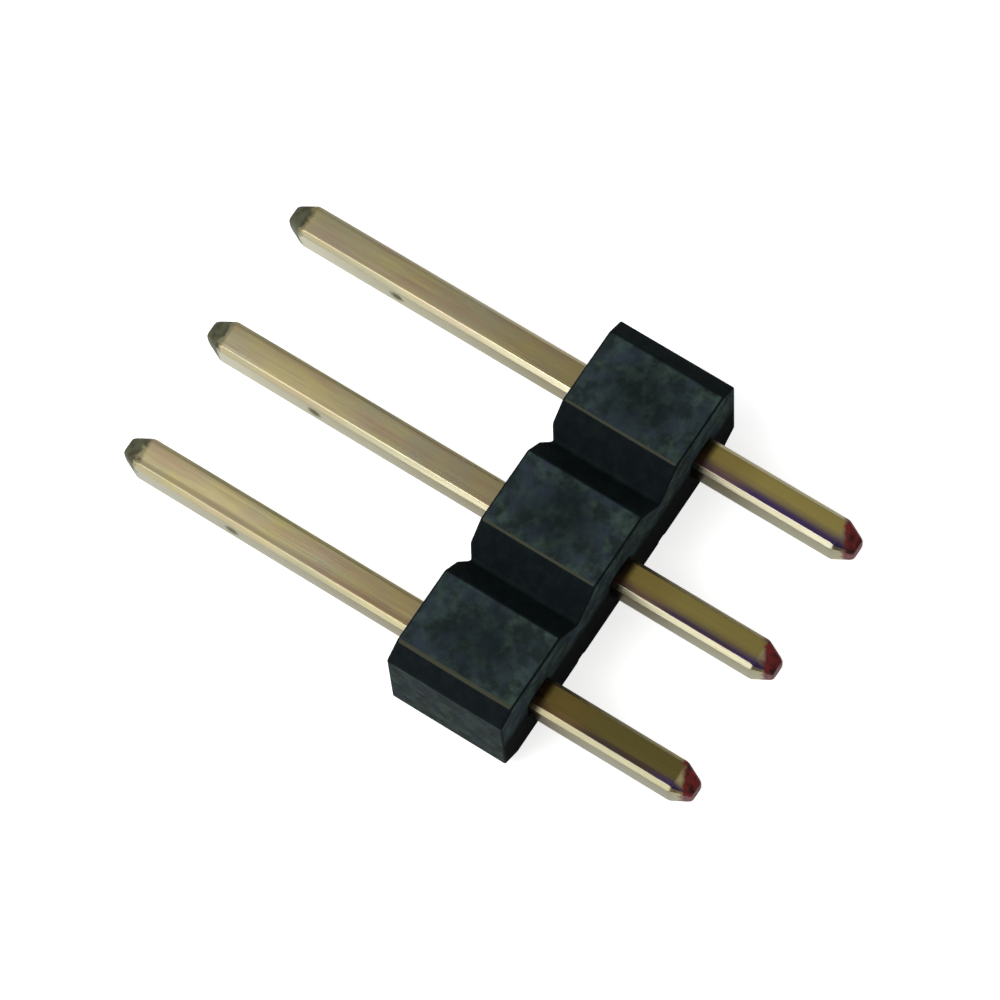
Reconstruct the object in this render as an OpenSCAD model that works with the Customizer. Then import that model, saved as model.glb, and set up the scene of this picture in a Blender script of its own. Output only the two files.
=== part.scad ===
// Single-row pin header strip: square posts pressed through one moulded housing.
// It lies on the long side of its housing. X runs along the row of posts, Y along the posts with
// the long contact ends at +Y, and Z up. The origin is the middle of the side that it lies on.

/* [Row] */
// Number of posts, and so of positions in the housing
post_count = 3; // [1:1:20]
// Distance from one post to the next
pitch = 2.54; // [2.2:0.01:5.08]

/* [Housing] */
// Housing size along the posts, from the board side to the contact side
housing_height = 2.3; // [1.5:0.05:4]
// Housing size across the row
housing_thickness = 2.35; // [1.9:0.05:4]
// Width of the flat land over each post, between two notches
land_width = 1.48; // [1.1:0.01:1.8]
// Run, along the row, of the chamfers on the four long corners at the ends of the housing
end_run = 0.34; // [0.05:0.01:0.45]
// Drop, across the thickness, of those chamfers
end_drop = 0.24; // [0.05:0.01:0.45]

/* [Break notches] */
// Depth of the notches between two positions on the upper side
notch_depth = 0.55; // [0.1:0.01:0.7]
// Width of the narrow flat at the bottom of each notch
notch_floor = 0.08; // [0.02:0.01:0.3]
// Depth of the shallower notches on the side that the header lies on
under_notch_depth = 0.06; // [0.05:0.01:0.5]
// Width of the shallow score that joins the notches across the contact side
score_width = 0.42; // [0.1:0.01:0.6]
// Depth of that score
score_depth = 0.14; // [0.02:0.01:0.3]

/* [Posts] */
// Side of the square post
post_side = 0.64; // [0.5:0.01:0.8]
// Chamfer along the four long edges of a post
post_edge = 0.08; // [0.02:0.01:0.15]
// Length of post that stands out on the contact side
contact_length = 6.05; // [3:0.05:12]
// Length of post that stands out on the board side, the solder tail
tail_length = 3.15; // [2:0.05:6]

/* [Post tips] */
// Length over which a post tapers at each end
tip_length = 0.37; // [0.1:0.01:0.8]
// Side of the small square at the very tip
tip_side = 0.32; // [0.1:0.01:0.45]

/* [Retention] */
// Length of the coined wings that hold a post in the housing
wing_length = 1.1; // [0.5:0.05:1.4]
// How far a wing stands out from the side of the post
wing_reach = 0.07; // [0.02:0.01:0.15]
// Length of the ramp at each end of a wing
wing_ramp = 0.2; // [0.05:0.01:0.24]
// Thickness of the wings
wing_thickness = 0.4; // [0.2:0.01:0.45]
// Gap between a post and its hole, none for the press fit
hole_gap = 0; // [0:0.005:0.03]

/* [Hidden] */

// Extra reach of a cutting solid past the face that it opens
overcut = 0.5;
half_row = (post_count - 1) * pitch / 2;
end_x = half_row + land_width / 2 + end_run;
post_z = housing_thickness / 2;
contact_face_y = housing_height / 2;
board_face_y = -housing_height / 2;
notch_run = (pitch - land_width - notch_floor) / 2;
under_notch_run = notch_run * under_notch_depth / notch_depth;

function post_x(i) = (i - 1) * pitch - half_row;
function notch_x(i) = post_x(i) + pitch / 2;

// The four points of one notch in order of rising x, cut from the level z towards the post row
function notch_points(x, z, depth, run) = [
    [x - notch_floor / 2 - run, z],
    [x - notch_floor / 2, z - depth],
    [x + notch_floor / 2, z - depth],
    [x + notch_floor / 2 + run, z]
];

function upper_notches() = [
    for (i = [1:1:post_count - 1])
        each notch_points(notch_x(i), housing_thickness, notch_depth, notch_run)
];

function under_notches() = [
    for (i = [post_count - 1:-1:1], k = [3:-1:0])
        notch_points(notch_x(i), 0, -under_notch_depth, under_notch_run)[k]
];

// End view of the housing, seen along the posts
module housing_profile() {
    polygon(concat(
        [[-end_x, end_drop],
         [-end_x, housing_thickness - end_drop],
         [-end_x + end_run, housing_thickness]],
        upper_notches(),
        [[end_x - end_run, housing_thickness],
         [end_x, housing_thickness - end_drop],
         [end_x, end_drop],
         [end_x - end_run, 0]],
        under_notches(),
        [[-end_x + end_run, 0]]
    ));
}

// Shallow V that runs across the contact side from the upper notch to the under notch
module score_cut() {
    slope = score_depth / (score_width / 2);
    translate([0, contact_face_y, -overcut])
        linear_extrude(height = housing_thickness + 2 * overcut)
            polygon([
                [-score_width / 2 - overcut, overcut * slope],
                [0, -score_depth],
                [score_width / 2 + overcut, overcut * slope]
            ]);
}

// Square section of a post with its long edges chamfered
module post_section(grow) {
    half = post_side / 2 + grow;
    flat_half = post_side / 2 - post_edge + grow * (sqrt(2) - 1);
    polygon([
        [-half, -flat_half], [-flat_half, -half], [flat_half, -half], [half, -flat_half],
        [half, flat_half], [flat_half, half], [-flat_half, half], [-half, flat_half]
    ]);
}

// Straight bar of post section from one y to another
module post_bar(y_from, y_to, grow = 0) {
    translate([0, y_to, 0])
        rotate([90, 0, 0])
            linear_extrude(height = y_to - y_from) post_section(grow);
}

// Coined wings on both sides of a post, in the middle of the housing
module wings(grow = 0) {
    side_x = post_side / 2;
    wing_x = side_x + wing_reach + grow;
    wing_y = wing_length / 2 + grow;
    ramp_y = wing_y - wing_ramp;
    translate([0, 0, -wing_thickness / 2 - grow])
        linear_extrude(height = wing_thickness + 2 * grow)
            polygon([
                [-side_x, -wing_y], [side_x, -wing_y], [wing_x, -ramp_y], [wing_x, ramp_y],
                [side_x, wing_y], [-side_x, wing_y], [-wing_x, ramp_y], [-wing_x, -ramp_y]
            ]);
}

// Side view of a whole post with both tips tapered, as a slab as thick as the post
module tapered_slab() {
    side_x = post_side / 2;
    tip_x = tip_side / 2;
    tail_y = board_face_y - tail_length;
    contact_y = contact_face_y + contact_length;
    translate([0, 0, -side_x])
        linear_extrude(height = post_side)
            polygon([
                [-tip_x, tail_y], [tip_x, tail_y],
                [side_x, tail_y + tip_length], [side_x, contact_y - tip_length],
                [tip_x, contact_y], [-tip_x, contact_y],
                [-side_x, contact_y - tip_length], [-side_x, tail_y + tip_length]
            ]);
}

module post() {
    union() {
        intersection() {
            post_bar(board_face_y - tail_length, contact_face_y + contact_length);
            tapered_slab();
            rotate([0, 90, 0]) tapered_slab();
        }
        wings();
    }
}

module housing() {
    color([0.15, 0.18, 0.17])
        difference() {
            translate([0, contact_face_y, 0])
                rotate([90, 0, 0])
                    linear_extrude(height = housing_height) housing_profile();
            for (i = [1:1:post_count - 1])
                translate([notch_x(i), 0, 0]) score_cut();
            for (i = [1:post_count])
                translate([post_x(i), 0, post_z])
                    union() {
                        post_bar(board_face_y - overcut, contact_face_y + overcut, hole_gap);
                        wings(hole_gap);
                    }
        }
}

module pin(i) {
    color([0.72, 0.67, 0.42])
        translate([post_x(i), 0, post_z]) post();
}

housing();
for (i = [1:post_count])
    pin(i);
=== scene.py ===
"""Pin header strip: the looks of one moulded housing and its gold-flashed square posts."""

import math

import bmesh
import bpy
from mathutils import Matrix, Vector, noise


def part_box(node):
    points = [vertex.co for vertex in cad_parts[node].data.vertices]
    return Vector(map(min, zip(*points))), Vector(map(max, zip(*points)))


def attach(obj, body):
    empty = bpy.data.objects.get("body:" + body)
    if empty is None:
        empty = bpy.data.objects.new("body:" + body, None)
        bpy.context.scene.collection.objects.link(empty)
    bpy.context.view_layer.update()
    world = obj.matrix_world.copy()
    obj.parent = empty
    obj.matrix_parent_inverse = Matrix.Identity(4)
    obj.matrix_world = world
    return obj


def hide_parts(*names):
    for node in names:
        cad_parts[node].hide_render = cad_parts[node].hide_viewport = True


bl_info = {
    "name": "Pin Header Strip",
    "version": (1, 0, 0),
    "blender": (4, 5, 0),
    "location": "View3D > Sidebar > Header",
    "description": "Dresses a single-row pin header with a moulded housing and plated posts",
    "category": "Object",
}

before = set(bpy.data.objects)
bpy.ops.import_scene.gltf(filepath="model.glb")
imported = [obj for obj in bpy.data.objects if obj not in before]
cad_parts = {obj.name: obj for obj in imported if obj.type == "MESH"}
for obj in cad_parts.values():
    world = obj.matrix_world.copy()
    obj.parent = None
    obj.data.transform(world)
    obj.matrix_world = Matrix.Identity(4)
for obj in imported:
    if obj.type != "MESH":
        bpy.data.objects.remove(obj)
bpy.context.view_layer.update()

MM = 0.001
BODY = "root"
HOUSING_NODE = "housing"
POST_NODES = sorted(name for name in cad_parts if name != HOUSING_NODE)

# The housing's box gives the faces that the posts come out of
housing_low, housing_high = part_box(HOUSING_NODE)
post_low, post_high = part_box(POST_NODES[0])
BOARD_FACE_Y = housing_low.y
CONTACT_FACE_Y = housing_high.y
TAIL_END_Y = post_low.y
CONTACT_END_Y = post_high.y
POST_Z = (post_low.z + post_high.z) / 2
POST_SIDE = post_high.z - post_low.z
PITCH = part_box(POST_NODES[1])[0].x - post_low.x

# What the floor adds for the eye and in reflections, where 1 is white
EYE_LIFT = 0.74
MIRROR_LIFT = 0.16

# The posts' looks repeat after this many positions
LOOK_COUNT = 3

# Share of the mould's edge round that each kind of edge on the housing takes
LONG_EDGE = 1.0
UPRIGHT_EDGE = 0.7
INNER_EDGE = 0.35
HOLE_RIM = 0.25


def linear(hex_colour):
    """Turns an sRGB hex colour to linear red, green and blue."""
    parts = [int(hex_colour[i:i + 2], 16) / 255 for i in (1, 3, 5)]
    return tuple(c / 12.92 if c <= 0.04045 else ((c + 0.055) / 1.055) ** 2.4 for c in parts)


def rgba(colour):
    """Adds full opacity to a linear colour."""
    return (*colour, 1.0)


def shaded(colour, level):
    """A colour made paler or darker by a plain factor, and never above white."""
    return rgba(tuple(min(c * level, 1.0) for c in colour))


def post_x(node):
    """The middle of a post along the row."""
    low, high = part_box(node)
    return (low.x + high.x) / 2


def colour_property(name, hex_colour, description):
    """A colour that the sidebar offers."""
    return bpy.props.FloatVectorProperty(name=name, description=description, default=linear(hex_colour),
                                         size=3, subtype="COLOR")


def length_property(name, default, description, **limits):
    """A length in metres, shown to a thousandth of a millimetre."""
    return bpy.props.FloatProperty(name=name, description=description, default=default, precision=6,
                                   unit="LENGTH", **limits)


def per_post_property(name, default, description):
    """A plain factor for each look of a post."""
    return bpy.props.FloatVectorProperty(name=name, default=default, size=LOOK_COUNT,
                                         description=f"{description}, from the first position on")


class HousingSettings(bpy.types.PropertyGroup):
    """Sizes and colours of the moulded housing."""

    edge_round: length_property("Edge Round", 0.05 * MM,
                                "Round that the mould leaves along the outer edges",
                                min=0.01 * MM, max=0.1 * MM)
    plastic: colour_property("Plastic", "#0A1315",
                             "Colour of the black moulded plastic where nothing rubs it")
    # Partly painted light: the lands' grey is rubbing, and it also stands for the sheen and overhead light
    # that they catch
    rubbed: colour_property("Rubbed Plastic", "#202A29",
                            "Grey that the flat lands take from rubbing in their tube")
    bloom: colour_property("Bloom", "#3A4B44", "Greener grey of the glass-rich patches on the lands")
    haze: colour_property("Haze", "#2E3842", "Bluer grey of the resin-rich patches on the lands")
    # Painted shade: the deeper black of the board side stands for the shade on it
    board_shade: colour_property("Board Side", "#06090A",
                                "Deeper black of the board side, moulded against a coarser insert")
    # Painted light: the upper part of the board side is painted paler than the lands, for the light that it
    # catches
    board_painted_light: bpy.props.FloatProperty(
        name="Board Rub",
        description="How much paler than the lands the upper part of the board side is rubbed",
        default=2.0,
    )
    # Painted highlight: the olive line on one edge of each land stands for the light that this edge catches
    land_highlight: colour_property("Worn Edge", "#424336", "Olive grey along the worn edges of the lands")


class PostSettings(bpy.types.PropertyGroup):
    """Sizes and colours of the square posts."""

    edge_flat: length_property("Edge Flat", 0.086 * MM,
                               "Run of the flat along each long edge of the wire",
                               min=0.03 * MM, max=0.15 * MM)
    bulge: length_property("Side Bulge", 0.006 * MM,
                           "How far the middle of each side stands proud of its edges",
                           min=0.0, max=0.03 * MM)
    corner_round: length_property("Corner Round", 0.014 * MM,
                                  "Radius between a side and the flat of its edge",
                                  min=0.005 * MM, max=0.03 * MM)
    contact_shades: per_post_property("Contact Shades", (1.15, 1.00, 0.88), "How pale each contact is")
    tail_shades: per_post_property("Tail Shades", (0.46, 0.88, 1.10), "How pale each solder tail is")
    # Painted reflection: how far the dark reflected band runs along each contact
    contact_reflections: per_post_property("Contact Stains", (0.65, 0.25, 0.20),
                                      "How strongly the stain runs on along each contact")
    # Painted reflection: how violet each post's dark reflected band is
    reflection_violets: per_post_property("Stain Violets", (0.1, 0.5, 1.0),
                                     "How violet rather than brown each post's stain is")
    # Painted highlight: how far each post's edge highlight is dimmed to grey
    edge_dimmings: per_post_property("Edge Tarnishes", (0.85, 0.42, 0.10),
                                      "How far tarnish has greyed each post's edges")
    # Scales the sides' partly painted shade and reflection for each post
    side_shades: per_post_property("Side Shades", (0.80, 0.97, 1.0),
                                   "How pale the sides of each post are")
    tip_side: length_property("Tip Side", 0.32 * MM,
                              "Side of the small sheared square at each end of a post")
    tip_length: length_property("Tip Length", 0.37 * MM, "Length over which a post tapers at each end")
    plating: colour_property("Plating", "#DCCD8E", "Pale greenish gold of the thin plating")
    thin_plating: colour_property("Thin Plating", "#CFC5A2",
                                  "Greyer tone where the gold is thinnest over the nickel")
    # Partly painted shade: the sides' grey is thinner gold, and it also stands for the shaded floor that they
    # reflect. It greys the +X edges too.
    side_gold_and_shade: colour_property("Side Plating", "#A8A483",
                                  "Grey-green tone of the sides, which took the least gold")
    # Painted reflection: the paler grey towards the contact tips stands for the bright floor that the sides
    # reflect there
    side_painted_reflection: colour_property("Scuffed Side", "#D8D5BC",
                                  "Paler grey of the sides near the contact tips, where mating scuffs them")
    # Painted reflection: this brown and the gold after it stand for the dark housing reflected in the plating
    # beside it
    housing_reflection_brown: colour_property("Pressed Brown", "#927438",
                                   "Brown of the plating beside the housing, where pressing in has rubbed it")
    housing_reflection_gold: colour_property("Pressed Side", "#86600C",
                                  "Golden brown that pressing in left on the sides where the stain is violet")
    # Painted highlight: this pale tone on the rounded edges stands for the light that they reflect
    highlight_plating: colour_property("Worn Plating", "#EAE8CE",
                                  "Paler nickel that shows along the rounded edges")
    speck: colour_property("Speck", "#4C4E14",
                           "Dark green of the small marks on the sides of the contacts")
    tail_olive: colour_property("Tail Olive", "#B8A75F",
                                "Darker olive that the solder tails have taken in the air")
    # Painted reflection: this violet and the brown after it colour the dark band that stands for reflected
    # dark surroundings
    violet_reflection: colour_property("Violet Stain", "#4B3A66",
                                  "Dark violet of the stain that runs along one edge of the upper side")
    brown_reflection: colour_property("Brown Stain", "#4A3D32",
                                 "Dark brown that the same stain has where it is oldest")
    rose_plating: colour_property("Rose Plating", "#CDB092",
                                  "Rosier streaks where the copper strike shows through the gold")
    sheared_tail: colour_property("Sheared Tail", "#7C2727",
                                  "Bare red-brown copper alloy at the cut tail ends")
    sheared_contact: colour_property("Sheared Contact", "#63654D",
                                     "Dull grey-brown of the coined contact tips")
    # Both oxide and painted shade: this dark brown colours the oxide in the cuts and the painted shade round
    # each tail's root
    oxide_and_root_shade: colour_property("Sheared Dark", "#2C1413",
                                  "Nearly black brown of the oxide in the roughest parts of a cut")


class StageSettings(bpy.types.PropertyGroup):
    """Floor, lights and camera."""

    floor_side: bpy.props.FloatProperty(
        name="Floor Side",
        description="Side of the pale square floor",
        default=1.2,
        unit="LENGTH",
    )
    lens: bpy.props.FloatProperty(
        name="Lens",
        description="Focal length of the camera in millimetres",
        default=222.1,
    )
    key_power: bpy.props.FloatProperty(
        name="Key Power",
        description="Power of the large soft light",
        default=0.20,
    )
    card_power: bpy.props.FloatProperty(
        name="Card Power",
        description="Power of the small low light that draws the long edges",
        default=0.024,
    )


def add_node(tree, kind, inputs=None, **settings):
    """Adds a node, sets its properties, and gives each input a value or a link.

    A colour mix has its factor at input 0, its two colours at 6 and 7, and its result at output 2.
    """
    node = tree.nodes.new(kind)
    for name, value in settings.items():
        setattr(node, name, value)
    for key, value in (inputs or {}).items():
        if isinstance(value, bpy.types.NodeSocket):
            tree.links.new(value, node.inputs[key])
        else:
            node.inputs[key].default_value = value
    return node


def streak_scale(width, length):
    """Scale that stretches a pattern into streaks of this width and length along a post."""
    return 1 / width, 1 / length, 1 / width


def new_material(name):
    """A material with an empty node tree."""
    material = bpy.data.materials.new(name)
    material.use_nodes = True
    material.node_tree.nodes.clear()
    return material, material.node_tree


def moulded_nylon(settings):
    """Glass-filled black nylon: matt black in the notches, greyer and mottled on the lands, where the grey is
    partly rubbing and partly painted light.
    """
    material, tree = new_material("moulded_glass_filled_nylon")
    coordinates = add_node(tree, "ShaderNodeTexCoord")
    place = coordinates.outputs["Object"]
    # The lands on both sides are rubbed most and the two ends less. This paler grey is partly painted light:
    # on the lands it stands for the sheen and overhead light they catch, and on the ends for the floor they
    # reflect.
    facing = add_node(tree, "ShaderNodeSeparateXYZ", {0: coordinates.outputs["Normal"]})
    level = add_node(tree, "ShaderNodeMath", {0: facing.outputs["Z"]}, operation="ABSOLUTE")
    endways = add_node(tree, "ShaderNodeMath", {0: facing.outputs["X"]}, operation="ABSOLUTE")
    height = add_node(tree, "ShaderNodeSeparateXYZ", {0: place}).outputs["Z"]
    from_middle = add_node(tree, "ShaderNodeMath", {0: height, 1: POST_Z}, operation="SUBTRACT")
    reach = add_node(tree, "ShaderNodeMath", {0: from_middle.outputs[0]}, operation="ABSOLUTE")
    outer = add_node(tree, "ShaderNodeMapRange", {"Value": reach.outputs[0],
                                                  "From Min": housing_high.z - POST_Z - 0.10 * MM,
                                                  "From Max": housing_high.z - POST_Z - 0.03 * MM})
    land = add_node(tree, "ShaderNodeMapRange", {"Value": level.outputs[0], "From Min": 0.93,
                                                 "From Max": 0.995, "To Max": outer.outputs["Result"]})
    end = add_node(tree, "ShaderNodeMapRange", {"Value": endways.outputs[0], "From Min": 0.95,
                                                "From Max": 0.999, "To Max": 0.8})
    flat = add_node(tree, "ShaderNodeMath", {0: land.outputs["Result"], 1: end.outputs["Result"]},
                    operation="MAXIMUM")
    # A painted highlight: an olive line along the edge of each land that leans towards -X stands for the
    # light that this edge catches
    highlight_facing = (-0.26, 0.0, 0.966)
    leaning = add_node(tree, "ShaderNodeVectorMath", {0: coordinates.outputs["Normal"], 1: highlight_facing},
                       operation="DOT_PRODUCT")
    highlight_share = add_node(tree, "ShaderNodeMapRange", {"Value": leaning.outputs["Value"], "From Min": 0.970,
                                                 "From Max": 0.984, "To Max": outer.outputs["Result"]})
    # Patches where glass or resin lies nearer to the surface
    glass_patch = 0.25 * MM
    resin_patch = 0.34 * MM
    resin_seed = 3.0
    glass = add_node(tree, "ShaderNodeTexNoise", {"Vector": place, "Scale": 1 / glass_patch,
                                                  "Detail": 3.0, "Roughness": 0.60})
    glass_mix = add_node(tree, "ShaderNodeMapRange", {"Value": glass.outputs["Fac"], "From Min": 0.43,
                                                      "From Max": 0.67})
    resin = add_node(tree, "ShaderNodeTexNoise", {"Vector": place, "Scale": 1 / resin_patch, "W": resin_seed,
                                                  "Detail": 3.0, "Roughness": 0.60}, noise_dimensions="4D")
    resin_mix = add_node(tree, "ShaderNodeMapRange", {"Value": resin.outputs["Fac"], "From Min": 0.45,
                                                      "From Max": 0.68})
    greener = add_node(tree, "ShaderNodeMix", {0: glass_mix.outputs["Result"], 6: rgba(settings.rubbed),
                                               7: rgba(settings.bloom)}, data_type="RGBA")
    bluer = add_node(tree, "ShaderNodeMix", {0: resin_mix.outputs["Result"], 6: greener.outputs[2],
                                             7: rgba(settings.haze)}, data_type="RGBA")
    boardwards = add_node(tree, "ShaderNodeMapRange", {"Value": facing.outputs["Y"], "From Min": -0.90,
                                                       "From Max": -0.98})
    # The middle of each land sinks a little over its post as the plastic cools, so the tube rubs it less
    first_x = post_x(POST_NODES[0])
    sunk_width = 0.9 * MM
    sunk_length = 1.0 * MM
    over_post = add_node(tree, "ShaderNodeVectorMath", {0: place, 1: (first_x + PITCH / 2, 1.0, 1.0),
                                                        2: (first_x - PITCH / 2, -1.0, -1.0)},
                         operation="WRAP")
    in_spans = add_node(tree, "ShaderNodeMapping", {"Vector": over_post.outputs[0],
                                                    "Location": (-first_x / sunk_width, 0.0, 0.0),
                                                    "Scale": (1 / sunk_width, 1 / sunk_length, 0.0)})
    off_middle = add_node(tree, "ShaderNodeVectorMath", {0: in_spans.outputs[0]}, operation="LENGTH")
    sunk_reach = add_node(tree, "ShaderNodeMath", {0: resin.outputs["Fac"], 1: 0.35,
                                                   2: off_middle.outputs["Value"]}, operation="MULTIPLY_ADD")
    sunk = add_node(tree, "ShaderNodeMapRange", {"Value": sunk_reach.outputs[0], "From Min": 0.52,
                                                 "From Max": 1.12, "To Min": 0.6, "To Max": 0.0})
    lands = add_node(tree, "ShaderNodeMix", {0: sunk.outputs["Result"], 6: bluer.outputs[2],
                                             7: rgba(settings.plastic)}, data_type="RGBA")
    # The notches keep the mould's own black, with the same patches but fainter
    faint = add_node(tree, "ShaderNodeMath", {0: glass_mix.outputs["Result"], 1: 0.25}, operation="MULTIPLY")
    notched = add_node(tree, "ShaderNodeMix", {0: faint.outputs[0], 6: rgba(settings.plastic),
                                               7: rgba(settings.rubbed)}, data_type="RGBA")
    # The board side is painted: paler above its posts as painted light, and black below them as painted shade
    upper = add_node(tree, "ShaderNodeMapRange", {"Value": height, "From Min": POST_Z - 0.10 * MM,
                                                  "From Max": POST_Z + 0.30 * MM})
    paler = add_node(tree, "ShaderNodeVectorMath", {0: bluer.outputs[2], "Scale": settings.board_painted_light},
                     operation="SCALE")
    board = add_node(tree, "ShaderNodeMix", {0: upper.outputs["Result"], 6: rgba(settings.board_shade),
                                             7: paler.outputs[0]}, data_type="RGBA")
    black = add_node(tree, "ShaderNodeMix", {0: boardwards.outputs["Result"], 6: notched.outputs[2],
                                             7: board.outputs[2]}, data_type="RGBA")
    # Here the lands and the ends take their paler grey, partly rubbing and partly painted light
    rubbed = add_node(tree, "ShaderNodeMix", {0: flat.outputs[0], 6: black.outputs[2],
                                              7: lands.outputs[2]}, data_type="RGBA")
    colour = add_node(tree, "ShaderNodeMix", {0: highlight_share.outputs["Result"], 6: rubbed.outputs[2],
                                              7: rgba(settings.land_highlight)}, data_type="RGBA")
    # Spark grain of the mould, real grit near 0.02 mm, drawn at 0.04 mm so that it shows
    grain_size = 0.04 * MM
    grain_depth = 0.005 * MM
    grain = add_node(tree, "ShaderNodeTexNoise", {"Vector": place, "Scale": 1 / grain_size,
                                                  "Detail": 2.0, "Roughness": 0.55})
    rough = add_node(tree, "ShaderNodeMapRange", {"Value": grain.outputs["Fac"], "From Min": 0.3,
                                                  "From Max": 0.7, "To Min": 0.66, "To Max": 0.84})
    coarser = add_node(tree, "ShaderNodeMath", {0: boardwards.outputs["Result"], 1: 0.3,
                                                2: rough.outputs["Result"]}, operation="MULTIPLY_ADD",
                       use_clamp=True)
    bump = add_node(tree, "ShaderNodeBump", {"Height": grain.outputs["Fac"], "Strength": 0.5,
                                             "Distance": grain_depth})
    shader = add_node(tree, "ShaderNodeBsdfPrincipled", {"Base Color": colour.outputs[2],
                                                         "Roughness": coarser.outputs[0],
                                                         "IOR": 1.53, "Specular IOR Level": 0.08,
                                                         "Normal": bump.outputs["Normal"]})
    add_node(tree, "ShaderNodeOutputMaterial", {"Surface": shader.outputs[0]})
    return material


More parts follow.
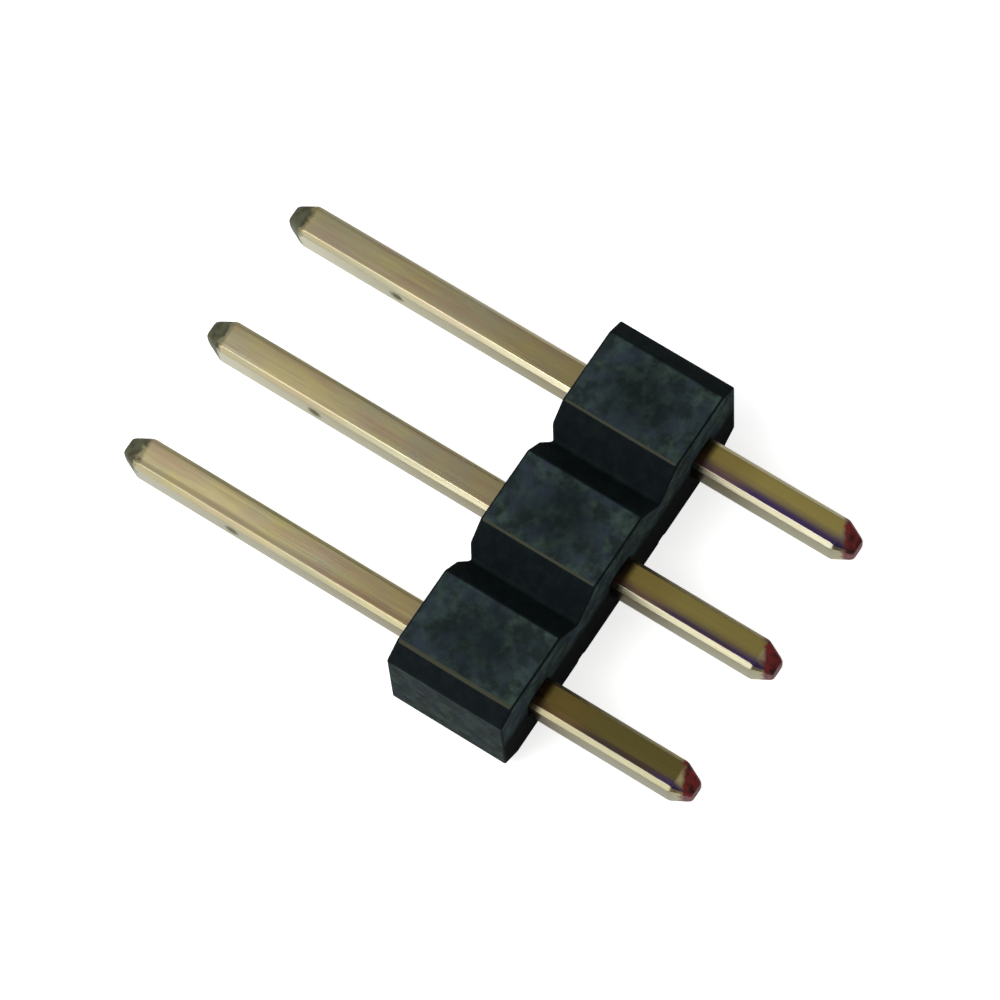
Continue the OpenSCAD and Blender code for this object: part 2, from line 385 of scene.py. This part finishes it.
def flash_gold(settings, look, centre, name):
    """Thin gold over nickel on drawn brass wire: streaked, greyer on its sides, bare where sheared, with
    painted highlights, reflections and shade.
    """
    material, tree = new_material(name)
    contact_shade = settings.contact_shades[look]
    tail_shade = settings.tail_shades[look]
    side_shade = settings.side_shades[look]
    violet = settings.reflection_violets[look]
    # Tints of this post's painted reflections: the dark band, and the brown beside the housing
    reflection_colour = tuple(b + (v - b) * violet for b, v in zip(settings.brown_reflection, settings.violet_reflection))
    side_housing_reflection = tuple(b + (s - b) * violet for b, s in zip(settings.housing_reflection_brown, settings.housing_reflection_gold))
    coordinates = add_node(tree, "ShaderNodeTexCoord")
    place = coordinates.outputs["Object"]
    axes = add_node(tree, "ShaderNodeSeparateXYZ", {0: place})
    across = add_node(tree, "ShaderNodeMath", {0: axes.outputs["X"], 1: centre}, operation="SUBTRACT")
    along = axes.outputs["Y"]
    # Die lines of the wire, real ones finer, drawn 0.03 mm apart and 2 mm long so that they show
    stretched = add_node(tree, "ShaderNodeMapping", {"Vector": place,
                                                     "Scale": streak_scale(width=0.03 * MM, length=2 * MM)})
    lines = add_node(tree, "ShaderNodeTexNoise", {"Vector": stretched.outputs[0], "Scale": 1.0,
                                                  "Detail": 3.0, "Roughness": 0.6})
    # Clouds in the thickness of the gold
    cloud_size = 0.9 * MM
    clouds = add_node(tree, "ShaderNodeTexNoise", {"Vector": place, "Scale": 1 / cloud_size, "Detail": 3.0})
    cloud_mix = add_node(tree, "ShaderNodeMapRange", {"Value": clouds.outputs["Fac"], "From Min": 0.35,
                                                      "From Max": 0.65})
    gold = add_node(tree, "ShaderNodeMix", {0: cloud_mix.outputs["Result"],
                                            6: shaded(settings.plating, contact_shade),
                                            7: shaded(settings.thin_plating, contact_shade)},
                    data_type="RGBA")
    # Rosier streaks 0.12 mm wide and 1.5 mm long
    drawn = add_node(tree, "ShaderNodeMapping", {"Vector": place,
                                                 "Scale": streak_scale(width=0.12 * MM, length=1.5 * MM)})
    streaks = add_node(tree, "ShaderNodeTexNoise", {"Vector": drawn.outputs[0], "Scale": 1.0,
                                                    "Detail": 2.0})
    rose_mix = add_node(tree, "ShaderNodeMapRange", {"Value": streaks.outputs["Fac"], "From Min": 0.45,
                                                     "From Max": 0.70, "To Max": 0.8})
    rosy = add_node(tree, "ShaderNodeMix", {0: rose_mix.outputs["Result"], 6: gold.outputs[2],
                                            7: shaded(settings.rose_plating, contact_shade)},
                    data_type="RGBA")
    # The solder tails are duller on their upper and lower faces
    normal = add_node(tree, "ShaderNodeSeparateXYZ", {0: coordinates.outputs["Normal"]})
    tailed = add_node(tree, "ShaderNodeMapRange", {"Value": along, "From Min": BOARD_FACE_Y + 0.1 * MM,
                                                   "From Max": BOARD_FACE_Y - 0.1 * MM})
    upright = add_node(tree, "ShaderNodeMath", {0: normal.outputs["Z"]}, operation="ABSOLUTE")
    flat_tail = add_node(tree, "ShaderNodeMapRange", {"Value": upright.outputs[0], "From Min": 0.93,
                                                      "From Max": 0.985, "To Max": tailed.outputs["Result"]})
    olive = add_node(tree, "ShaderNodeMix", {0: flat_tail.outputs["Result"], 6: rosy.outputs[2],
                                             7: shaded(settings.tail_olive, tail_shade)}, data_type="RGBA")
    # A painted dark reflection: a band deepens towards the edge at -X, full on the tails and weaker on the
    # contacts
    top = add_node(tree, "ShaderNodeMapRange", {"Value": upright.outputs[0], "From Min": 0.90,
                                                "From Max": 0.97})
    strayed = add_node(tree, "ShaderNodeMath", {0: lines.outputs["Fac"], 1: 0.06 * MM, 2: across.outputs[0]},
                       operation="MULTIPLY_ADD")
    reflection_share = add_node(tree, "ShaderNodeMapRange", {"Value": along, "From Min": BOARD_FACE_Y + 0.1 * MM,
                                                        "From Max": BOARD_FACE_Y - 0.1 * MM,
                                                        "To Min": settings.contact_reflections[look]})
    reflection_band = add_node(tree, "ShaderNodeMapRange", {"Value": strayed.outputs[0],
                                                 "From Min": (0.10 * violet - 0.03) * MM,
                                                 "From Max": -0.17 * MM,
                                                 "To Max": reflection_share.outputs["Result"]},
                    interpolation_type="SMOOTHSTEP")
    # At the tail's end this painted reflection turns violet on every post and runs on over the taper
    endways = add_node(tree, "ShaderNodeMath", {0: normal.outputs["Y"]}, operation="ABSOLUTE")
    taper = add_node(tree, "ShaderNodeMapRange", {"Value": endways.outputs[0], "From Min": 0.10,
                                                  "From Max": 0.30})
    near_end = add_node(tree, "ShaderNodeMapRange", {"Value": along, "From Min": TAIL_END_Y + 0.9 * MM,
                                                     "From Max": TAIL_END_Y + 0.4 * MM})
    tail_taper = add_node(tree, "ShaderNodeMath", {0: taper.outputs["Result"], 1: near_end.outputs["Result"]},
                          operation="MULTIPLY")
    taper_top = add_node(tree, "ShaderNodeMapRange", {"Value": upright.outputs[0], "From Min": 0.78,
                                                      "From Max": 0.88, "To Max": tail_taper.outputs[0]})
    reflecting_face = add_node(tree, "ShaderNodeMath", {0: top.outputs["Result"],
                                                     1: taper_top.outputs["Result"]}, operation="MAXIMUM")
    dark_reflection = add_node(tree, "ShaderNodeMath", {0: reflection_band.outputs["Result"], 1: reflecting_face.outputs[0]},
                     operation="MULTIPLY")
    dark_reflection_tone = add_node(tree, "ShaderNodeMix", {0: near_end.outputs["Result"], 6: rgba(reflection_colour),
                                                  7: rgba(settings.violet_reflection)}, data_type="RGBA")
    with_dark_reflection = add_node(tree, "ShaderNodeMix", {0: dark_reflection.outputs[0], 6: olive.outputs[2],
                                               7: dark_reflection_tone.outputs[2]}, data_type="RGBA")
    # The sides took the least gold, so they are greyer, and that grey is also painted shade. They are painted
    # paler towards the tips as a painted reflection.
    sideways = add_node(tree, "ShaderNodeMath", {0: normal.outputs["X"]}, operation="ABSOLUTE")
    side = add_node(tree, "ShaderNodeMapRange", {"Value": sideways.outputs[0], "From Min": 0.75,
                                                 "From Max": 0.95})
    outward = add_node(tree, "ShaderNodeMapRange", {"Value": along, "From Min": CONTACT_FACE_Y + 1.2 * MM,
                                                    "From Max": CONTACT_FACE_Y + 5.4 * MM})
    side_reflection_tone = add_node(tree, "ShaderNodeMix", {0: outward.outputs["Result"],
                                                 6: shaded(settings.side_gold_and_shade, side_shade),
                                                 7: shaded(settings.side_painted_reflection, side_shade)},
                         data_type="RGBA")
    sided = add_node(tree, "ShaderNodeMix", {0: side.outputs["Result"], 6: with_dark_reflection.outputs[2],
                                             7: side_reflection_tone.outputs[2]}, data_type="RGBA")
    # A painted highlight: the rounded edges are painted paler, for the light that they reflect
    side_or_top = add_node(tree, "ShaderNodeMath", {0: side.outputs["Result"], 1: top.outputs["Result"]},
                           operation="MAXIMUM")
    faced = add_node(tree, "ShaderNodeMath", {0: side_or_top.outputs[0], 1: taper.outputs["Result"]},
                     operation="MAXIMUM")
    rounded = add_node(tree, "ShaderNodeMapRange", {"Value": faced.outputs[0], "To Min": 0.95, "To Max": 0.0})
    # The edges at +X are painted grey as a painted dark reflection. The others each take a share of that
    # grey, which grows along the contacts and dims their painted highlight.
    beyond = add_node(tree, "ShaderNodeMapRange", {"Value": normal.outputs["X"], "From Min": 0.1,
                                                   "From Max": 0.4})
    farther = add_node(tree, "ShaderNodeMapRange", {"Value": along, "From Min": CONTACT_FACE_Y,
                                                    "From Max": CONTACT_FACE_Y + 6.5 * MM,
                                                    "To Min": settings.edge_dimmings[look]})
    dimmed_edge = add_node(tree, "ShaderNodeMath", {0: beyond.outputs["Result"], 1: farther.outputs["Result"]},
                    operation="MAXIMUM")
    edge_highlight_tone = add_node(tree, "ShaderNodeMix", {0: dimmed_edge.outputs[0], 6: rgba(settings.highlight_plating),
                                                 7: rgba(settings.side_gold_and_shade)}, data_type="RGBA")
    patchy = add_node(tree, "ShaderNodeMapRange", {"Value": streaks.outputs["Fac"], "From Min": 0.35,
                                                   "From Max": 0.60, "To Min": 1.0, "To Max": 0.6})
    highlight_share = add_node(tree, "ShaderNodeMath", {0: rounded.outputs["Result"], 1: patchy.outputs["Result"]},
                    operation="MULTIPLY")
    with_edge_highlight = add_node(tree, "ShaderNodeMix", {0: highlight_share.outputs[0], 6: sided.outputs[2],
                                             7: edge_highlight_tone.outputs[2]}, data_type="RGBA")
    # A ragged tool mark on one side, 0.25 mm wide, has turned green
    speck_out = 3.71 * MM
    speck_up = 0.04 * MM
    grit_size = 0.07 * MM
    speck_place = (centre - POST_SIDE / 2, CONTACT_FACE_Y + speck_out, POST_Z + speck_up)
    to_speck = add_node(tree, "ShaderNodeVectorMath", {0: place, 1: speck_place}, operation="DISTANCE")
    grit = add_node(tree, "ShaderNodeTexNoise", {"Vector": place, "Scale": 1 / grit_size, "Detail": 2.0})
    speck_reach = add_node(tree, "ShaderNodeMath", {0: grit.outputs["Fac"], 1: 0.14 * MM,
                                                    2: to_speck.outputs["Value"]}, operation="MULTIPLY_ADD")
    speck = add_node(tree, "ShaderNodeMapRange", {"Value": speck_reach.outputs[0], "From Min": 0.23 * MM,
                                                  "From Max": 0.15 * MM, "To Max": 0.9})
    specked = add_node(tree, "ShaderNodeMix", {0: speck.outputs["Result"], 6: with_edge_highlight.outputs[2],
                                               7: rgba(settings.speck)}, data_type="RGBA")
    # A painted reflection of the dark housing browns the plating beside it, 1.2 mm out on the tails and 2.2
    # mm on the contacts
    tail_housing_reflection = add_node(tree, "ShaderNodeMapRange", {"Value": along, "From Min": BOARD_FACE_Y - 1.2 * MM,
                                                         "From Max": BOARD_FACE_Y - 0.05 * MM, "To Max": 0.9})
    contact_housing_reflection = add_node(tree, "ShaderNodeMapRange", {"Value": along,
                                                            "From Min": CONTACT_FACE_Y + 2.2 * MM,
                                                            "From Max": CONTACT_FACE_Y, "To Max": 0.4})
    housing_reflection_reach = add_node(tree, "ShaderNodeMath", {0: tail_housing_reflection.outputs["Result"],
                                                     1: contact_housing_reflection.outputs["Result"]},
                            operation="MINIMUM")
    streaked = add_node(tree, "ShaderNodeMapRange", {"Value": lines.outputs["Fac"], "From Min": 0.35,
                                                     "From Max": 0.60, "To Min": 0.75, "To Max": 1.0})
    housing_reflection = add_node(tree, "ShaderNodeMath", {0: housing_reflection_reach.outputs[0], 1: streaked.outputs["Result"]},
                       operation="MULTIPLY")
    bright_edge = add_node(tree, "ShaderNodeMapRange", {"Value": rounded.outputs["Result"], "To Min": 1.0,
                                                        "To Max": 0.25})
    housing_reflection_face = add_node(tree, "ShaderNodeMath", {0: housing_reflection.outputs[0], 1: bright_edge.outputs["Result"]},
                            operation="MULTIPLY")
    housing_reflection_tone = add_node(tree, "ShaderNodeMix", {0: side.outputs["Result"], 6: rgba(settings.housing_reflection_brown),
                                                  7: rgba(side_housing_reflection)}, data_type="RGBA")
    with_housing_reflection = add_node(tree, "ShaderNodeMix", {0: housing_reflection_face.outputs[0], 6: specked.outputs[2],
                                               7: housing_reflection_tone.outputs[2]}, data_type="RGBA")
    # Painted shade sits round the root of each tail, 0.2 mm out from the housing
    root = add_node(tree, "ShaderNodeMapRange", {"Value": along, "From Min": BOARD_FACE_Y - 0.24 * MM,
                                                 "From Max": BOARD_FACE_Y - 0.12 * MM, "To Max": 0.85})
    root_shade_reach = add_node(tree, "ShaderNodeMapRange", {"Value": along, "From Min": BOARD_FACE_Y + 0.2 * MM,
                                                      "From Max": BOARD_FACE_Y,
                                                      "To Max": root.outputs["Result"]})
    with_root_shade = add_node(tree, "ShaderNodeMix", {0: root_shade_reach.outputs["Result"], 6: with_housing_reflection.outputs[2],
                                              7: rgba(settings.oxide_and_root_shade)}, data_type="RGBA")
    # The cut wanders by 0.05 mm where the shear left the plating ragged, and slants across the tail
    ragged_size = 0.12 * MM
    ragged = add_node(tree, "ShaderNodeTexNoise", {"Vector": place, "Scale": 1 / ragged_size, "Detail": 2.0})
    wander = add_node(tree, "ShaderNodeMapRange", {"Value": ragged.outputs["Fac"], "From Min": 0.3,
                                                   "From Max": 0.7, "To Min": -0.05 * MM,
                                                   "To Max": 0.05 * MM})
    edge = add_node(tree, "ShaderNodeMath", {0: along, 1: wander.outputs["Result"]}, operation="ADD")
    slant = add_node(tree, "ShaderNodeMath", {0: across.outputs[0], 1: -0.5, 2: edge.outputs[0]},
                     operation="MULTIPLY_ADD")
    tail = add_node(tree, "ShaderNodeMapRange", {"Value": slant.outputs[0],
                                                 "From Min": TAIL_END_Y + 0.33 * MM,
                                                 "From Max": TAIL_END_Y + 0.23 * MM})
    contact = add_node(tree, "ShaderNodeMapRange", {"Value": edge.outputs[0],
                                                    "From Min": CONTACT_END_Y - 0.38 * MM,
                                                    "From Max": CONTACT_END_Y - 0.27 * MM})
    with_tail = add_node(tree, "ShaderNodeMix", {0: tail.outputs["Result"], 6: with_root_shade.outputs[2],
                                                 7: rgba(settings.sheared_tail)}, data_type="RGBA")
    with_contact = add_node(tree, "ShaderNodeMix", {0: contact.outputs["Result"], 6: with_tail.outputs[2],
                                                    7: rgba(settings.sheared_contact)}, data_type="RGBA")
    bare = add_node(tree, "ShaderNodeMath", {0: tail.outputs["Result"], 1: contact.outputs["Result"]},
                    operation="MAXIMUM")
    oxide_reach = add_node(tree, "ShaderNodeMath", {0: contact.outputs["Result"], 1: -0.45,
                                                    2: bare.outputs[0]}, operation="MULTIPLY_ADD")
    oxide = add_node(tree, "ShaderNodeMapRange", {"Value": ragged.outputs["Fac"], "From Min": 0.42,
                                                  "From Max": 0.70, "To Max": oxide_reach.outputs[0]})
    colour = add_node(tree, "ShaderNodeMix", {0: oxide.outputs["Result"], 6: with_contact.outputs[2],
                                              7: rgba(settings.oxide_and_root_shade)}, data_type="RGBA")
    line_rough = add_node(tree, "ShaderNodeMapRange", {"Value": lines.outputs["Fac"], "From Min": 0.3,
                                                       "From Max": 0.7, "To Min": 0.16, "To Max": 0.28})
    # Mating scuffs the outer half of a contact, so its shine is broader and dimmer there
    scuffed = add_node(tree, "ShaderNodeMapRange", {"Value": along, "From Min": CONTACT_FACE_Y + 1.0 * MM,
                                                    "From Max": CONTACT_FACE_Y + 4.0 * MM, "To Max": 0.12})
    shine = add_node(tree, "ShaderNodeMath", {0: line_rough.outputs["Result"], 1: scuffed.outputs["Result"]},
                     operation="ADD")
    rubbed = add_node(tree, "ShaderNodeMath", {0: rounded.outputs["Result"], 1: 0.12, 2: shine.outputs[0]},
                      operation="MULTIPLY_ADD")
    # The bare alloy and the green mark have dulled in the air, so they are only half metal to the eye
    dulled = add_node(tree, "ShaderNodeMath", {0: bare.outputs[0], 1: speck.outputs["Result"]},
                      operation="MAXIMUM")
    clouded = add_node(tree, "ShaderNodeMath", {0: dark_reflection.outputs[0], 1: 0.18, 2: rubbed.outputs[0]},
                       operation="MULTIPLY_ADD")
    rough = add_node(tree, "ShaderNodeMath", {0: dulled.outputs[0], 1: 0.20, 2: clouded.outputs[0]},
                     operation="MULTIPLY_ADD")
    metal = add_node(tree, "ShaderNodeMapRange", {"Value": dulled.outputs[0], "To Min": 1.0, "To Max": 0.5})
    line_depth = 0.004 * MM
    bump = add_node(tree, "ShaderNodeBump", {"Height": lines.outputs["Fac"], "Strength": 0.25,
                                             "Distance": line_depth})
    shader = add_node(tree, "ShaderNodeBsdfPrincipled", {"Base Color": colour.outputs[2],
                                                         "Metallic": metal.outputs["Result"],
                                                         "Roughness": rough.outputs[0],
                                                         "Normal": bump.outputs["Normal"]})
    add_node(tree, "ShaderNodeOutputMaterial", {"Surface": shader.outputs[0]})
    return material


def pale_floor():
    """Matt white board: plain to the lamps, lifted towards white for the eye and for reflections."""
    material, tree = new_material("matt_white_board")
    path = add_node(tree, "ShaderNodeLightPath")
    mirrored = add_node(tree, "ShaderNodeMath", {0: path.outputs["Is Glossy Ray"],
                                                 1: path.outputs["Is Transmission Ray"]}, operation="MAXIMUM")
    mirror_lift = add_node(tree, "ShaderNodeMath", {0: mirrored.outputs[0], 1: MIRROR_LIFT},
                           operation="MULTIPLY")
    lift = add_node(tree, "ShaderNodeMath", {0: path.outputs["Is Camera Ray"], 1: EYE_LIFT,
                                             2: mirror_lift.outputs[0]}, operation="MULTIPLY_ADD")
    board = add_node(tree, "ShaderNodeBsdfDiffuse", {"Color": rgba(linear("#E6E6E6"))})
    glow = add_node(tree, "ShaderNodeEmission", {"Strength": lift.outputs[0]})
    both = add_node(tree, "ShaderNodeAddShader", {0: board.outputs[0], 1: glow.outputs[0]})
    add_node(tree, "ShaderNodeOutputMaterial", {"Surface": both.outputs[0]})
    return material


def is_in_hole(point):
    """Whether a point of the housing's mesh belongs to a hole that a post fills."""
    wing_room = 0.1 * MM
    slack = 0.01 * MM
    near = any(abs(point.x - post_x(node)) < POST_SIDE / 2 + wing_room for node in POST_NODES)
    return near and abs(point.z - POST_Z) < POST_SIDE / 2 + slack


def housing_mesh(source):
    """The CAD housing with its flat faces whole and its edges marked with the round each takes."""
    mesh = source.data.copy()
    mesh.name = "moulded_housing"
    flat_angle = math.radians(10)
    touching = 0.001 * MM
    shape = bmesh.new()
    shape.from_mesh(mesh)
    bmesh.ops.remove_doubles(shape, verts=shape.verts, dist=0.0001 * MM)
    bmesh.ops.dissolve_limit(shape, angle_limit=math.radians(1), verts=shape.verts, edges=shape.edges)
    weights = shape.edges.layers.float.new("bevel_weight_edge")
    for edge in shape.edges:
        if edge.calc_face_angle(0.0) < flat_angle:
            continue
        holed = all(is_in_hole(v.co) for v in edge.verts)
        rim = all(abs(abs(v.co.y) - CONTACT_FACE_Y) < touching for v in edge.verts)
        if not holed:
            upright = abs(edge.verts[0].co.z - edge.verts[1].co.z) > edge.calc_length() * 0.99
            edge[weights] = (UPRIGHT_EDGE if upright else LONG_EDGE) if edge.is_convex else INNER_EDGE
        elif rim:
            edge[weights] = HOLE_RIM
    shape.to_mesh(mesh)
    shape.free()
    return mesh


def arc_points(corner, radius, start):
    """Points of the round at a corner where two flats meet at 45 degrees."""
    first, last = math.radians(start), math.radians(start + 45)
    pull = radius / (1 + math.cos(math.radians(45)))
    middle = (corner[0] - pull * (math.cos(first) + math.cos(last)),
              corner[1] - pull * (math.sin(first) + math.sin(last)))
    angles = [first + (last - first) * share for share in (0.0, 0.33, 0.67, 1.0)]
    return [(middle[0] + radius * math.cos(a), middle[1] + radius * math.sin(a)) for a in angles]


def section_points(half, settings):
    """Points round a square section with bulging sides and a flat along each edge, in X and Z."""
    lost = POST_SIDE / 2 - half
    least_edge = 0.04 * MM
    edge = max(settings.edge_flat - 2 * lost, least_edge)
    bulge = settings.bulge * half / (POST_SIDE / 2)
    flat, rise = half - edge, half - bulge
    quarter = [(share * flat, half - bulge * share ** 2) for share in (0.8, 0.4, 0.0, -0.4, -0.8)]
    quarter += arc_points((-flat, rise), settings.corner_round, 90)
    quarter += arc_points((-rise, flat), settings.corner_round, 135)
    points = []
    for turn in range(4):
        points += quarter
        quarter = [(-z, x) for x, z in quarter]
    return points


def tip_stations(settings):
    """Distances from a post's end with the half side there: rim, taper and shoulder."""
    tip_half = settings.tip_side / 2
    full_half = POST_SIDE / 2
    rise = (full_half - tip_half) / settings.tip_length
    shoulder = 0.035 * MM
    return [
        (0.0, tip_half - 0.022 * MM),
        (0.006 * MM, tip_half - 0.008 * MM),
        (0.022 * MM, tip_half + 0.004 * MM),
        (0.06 * MM, tip_half + rise * 0.06 * MM),
        (settings.tip_length - shoulder, full_half - rise * shoulder),
        (settings.tip_length, full_half - rise * shoulder * 0.3),
        (settings.tip_length + shoulder, full_half),
    ]


def post_mesh(name, settings, seed):
    """A square post lofted from one sheared end to the other."""
    stations = [(TAIL_END_Y + d, half) for d, half in tip_stations(settings)]
    stations += [(BOARD_FACE_Y, POST_SIDE / 2), (CONTACT_FACE_Y, POST_SIDE / 2)]
    stations += [(CONTACT_END_Y - d, half) for d, half in reversed(tip_stations(settings))]
    shape = bmesh.new()
    rings = []
    for y, half in stations:
        section = section_points(half, settings)
        rings.append([shape.verts.new((x, y, z)) for x, z in section])
    for near, far in zip(rings, rings[1:]):
        for i, vert in enumerate(near):
            j = (i + 1) % len(near)
            shape.faces.new((vert, far[i], far[j], near[j]))
    for ring, inward in ((rings[0], 1), (rings[-1], -1)):
        close_sheared_end(shape, ring, inward, seed)
    bmesh.ops.recalc_face_normals(shape, faces=shape.faces)
    mesh = bpy.data.meshes.new(name)
    shape.to_mesh(mesh)
    shape.free()
    return mesh


def close_sheared_end(shape, ring, inward, seed):
    """Closes a post's end with the slightly torn face that the shear leaves."""
    end_y = ring[0].co.y
    tear = 0.012 * MM
    tear_grain = 0.07 * MM
    outer = ring
    for share in (0.8, 0.55, 0.28):
        inner = []
        for vert in ring:
            x, z = vert.co.x * share, vert.co.z * share
            torn = noise.noise(Vector((x, z, seed * MM)) / tear_grain)
            inner.append(shape.verts.new((x, end_y + inward * tear * (0.5 + torn), z)))
        for i, vert in enumerate(outer):
            j = (i + 1) % len(outer)
            shape.faces.new((vert, outer[j], inner[j], inner[i]))
        outer = inner
    middle = shape.verts.new((0, end_y + inward * tear * 0.5, 0))
    for i, vert in enumerate(outer):
        shape.faces.new((vert, outer[(i + 1) % len(outer)], middle))


def add_piece(name, mesh, node, material):
    """Puts a mesh in the scene in place of a CAD node."""
    piece = bpy.data.objects.new(name, mesh)
    bpy.context.scene.collection.objects.link(piece)
    mesh.materials.clear()
    mesh.materials.append(material)
    for face in mesh.polygons:
        face.use_smooth = True
    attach(piece, BODY)
    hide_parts(node)
    return piece


class HEADER_OT_housing(bpy.types.Operator):
    """Makes the notched housing that holds the posts"""

    bl_idname = "header.housing"
    bl_label = "Moulded Housing"

    def execute(self, context):
        settings = context.scene.header_housing
        mesh = housing_mesh(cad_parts[HOUSING_NODE])
        piece = add_piece("moulded_housing", mesh, HOUSING_NODE, moulded_nylon(settings))
        bevel = piece.modifiers.new("Edge Round", "BEVEL")
        bevel.limit_method = "WEIGHT"
        bevel.width = settings.edge_round
        bevel.segments = 3
        bevel.use_clamp_overlap = False
        normals = piece.modifiers.new("Flat Faces", "WEIGHTED_NORMAL")
        normals.keep_sharp = True
        return {"FINISHED"}


class HEADER_OT_posts(bpy.types.Operator):
    """Makes the square posts with their tapered, sheared tips"""

    bl_idname = "header.posts"
    bl_label = "Square Posts"

    def execute(self, context):
        settings = context.scene.header_posts
        for seed, node in enumerate(POST_NODES, start=1):
            look = (seed - 1) % LOOK_COUNT
            material = flash_gold(settings, look, post_x(node), f"gold_flashed_drawn_brass_{seed}")
            mesh = post_mesh(f"post_{seed}", settings, seed)
            mesh.transform(Matrix.Translation((post_x(node), 0, POST_Z)))
            piece = add_piece(f"post_{seed}", mesh, node, material)
            normals = piece.modifiers.new("Flat Faces", "WEIGHTED_NORMAL")
            normals.keep_sharp = True
        return {"FINISHED"}


def add_camera(settings):
    """The camera at the photograph's viewing angle, above the board side and the near end."""
    azimuth = math.radians(51.23)
    elevation = math.radians(69.63)
    roll = math.radians(-6.03)
    distance = 104.9 * MM
    target = Vector((0.056, 1.319, 1.175)) * MM
    forward = Vector((math.sin(azimuth) * math.cos(elevation), math.cos(azimuth) * math.cos(elevation),
                      -math.sin(elevation)))
    level_right = Vector((math.cos(azimuth), -math.sin(azimuth), 0))
    level_up = level_right.cross(forward)
    right = math.cos(roll) * level_right + math.sin(roll) * level_up
    up = -math.sin(roll) * level_right + math.cos(roll) * level_up
    data = bpy.data.cameras.new("camera")
    data.lens = settings.lens
    data.clip_start = 1 * MM
    data.clip_end = 10.0
    camera = bpy.data.objects.new("camera", data)
    bpy.context.scene.collection.objects.link(camera)
    turn = Matrix((right, up, -forward)).transposed().to_4x4()
    camera.matrix_world = Matrix.Translation(target - distance * forward) @ turn
    bpy.context.scene.camera = camera


def add_softbox(name, towards, distance, side, power):
    """A square soft light that looks at the middle of the object."""
    direction = Vector(towards).normalized()
    data = bpy.data.lights.new(name, "AREA")
    data.shape = "SQUARE"
    data.size = side
    data.energy = power
    lamp = bpy.data.objects.new(name, data)
    bpy.context.scene.collection.objects.link(lamp)
    lamp.location = direction * distance
    lamp.rotation_euler = direction.to_track_quat("Z", "Y").to_euler()


def add_world():
    """Soft room light, paler overhead than at the horizon."""
    world = bpy.data.worlds.new("soft_room")
    bpy.context.scene.world = world
    world.use_nodes = True
    tree = world.node_tree
    tree.nodes.clear()
    place = add_node(tree, "ShaderNodeTexCoord").outputs["Generated"]
    height = add_node(tree, "ShaderNodeSeparateXYZ", {0: place}).outputs["Z"]
    level = add_node(tree, "ShaderNodeMapRange", {"Value": height, "From Min": 0.35, "From Max": 0.92,
                                                  "To Min": 0.10, "To Max": 0.38})
    sky = add_node(tree, "ShaderNodeBackground", {"Color": (1, 1, 1, 1), "Strength": level.outputs["Result"]})
    add_node(tree, "ShaderNodeOutputWorld", {"Surface": sky.outputs[0]})


class HEADER_OT_stage(bpy.types.Operator):
    """Sets up the pale floor, the soft lights and the camera"""

    bl_idname = "header.stage"
    bl_label = "Studio Stage"

    def execute(self, context):
        settings = context.scene.header_stage
        half = settings.floor_side / 2
        mesh = bpy.data.meshes.new("floor")
        corners = [(-half, -half, 0), (half, -half, 0), (half, half, 0), (-half, half, 0)]
        mesh.from_pydata(corners, [], [(0, 1, 2, 3)])
        mesh.materials.append(pale_floor())
        floor = bpy.data.objects.new("floor", mesh)
        context.scene.collection.objects.link(floor)
        add_softbox("key_softbox", towards=(-0.42, 0.40, 0.82), distance=160 * MM, side=110 * MM,
                    power=settings.key_power)
        add_softbox("edge_card", towards=(-0.94, 0.22, 0.27), distance=160 * MM, side=60 * MM,
                    power=settings.card_power)
        add_world()
        add_camera(settings)
        context.scene.view_settings.view_transform = "Standard"
        return {"FINISHED"}


class HEADER_PT_sidebar(bpy.types.Panel):
    """Buttons for the header's pieces and their settings"""

    bl_label = "Pin Header"
    bl_idname = "HEADER_PT_sidebar"
    bl_space_type = "VIEW_3D"
    bl_region_type = "UI"
    bl_category = "Header"

    def draw(self, context):
        scene = context.scene
        for group in (scene.header_housing, scene.header_posts, scene.header_stage):
            box = self.layout.box()
            for key in group.bl_rna.properties.keys():
                if key not in ("rna_type", "name"):
                    box.prop(group, key)
        for operator in OPERATORS:
            self.layout.operator(operator.bl_idname)


SETTINGS = {
    "header_housing": HousingSettings,
    "header_posts": PostSettings,
    "header_stage": StageSettings,
}
OPERATORS = (HEADER_OT_stage, HEADER_OT_housing, HEADER_OT_posts)


def register():
    for name, group in SETTINGS.items():
        bpy.utils.register_class(group)
        setattr(bpy.types.Scene, name, bpy.props.PointerProperty(type=group))
    for operator in OPERATORS:
        bpy.utils.register_class(operator)
    bpy.utils.register_class(HEADER_PT_sidebar)


def unregister():
    bpy.utils.unregister_class(HEADER_PT_sidebar)
    for operator in reversed(OPERATORS):
        bpy.utils.unregister_class(operator)
    for name, group in SETTINGS.items():
        delattr(bpy.types.Scene, name)
        bpy.utils.unregister_class(group)


def main():
    """Registers the add-on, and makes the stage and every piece."""
    register()
    bpy.ops.header.stage()
    bpy.ops.header.housing()
    bpy.ops.header.posts()


if __name__ == "__main__":
    main()
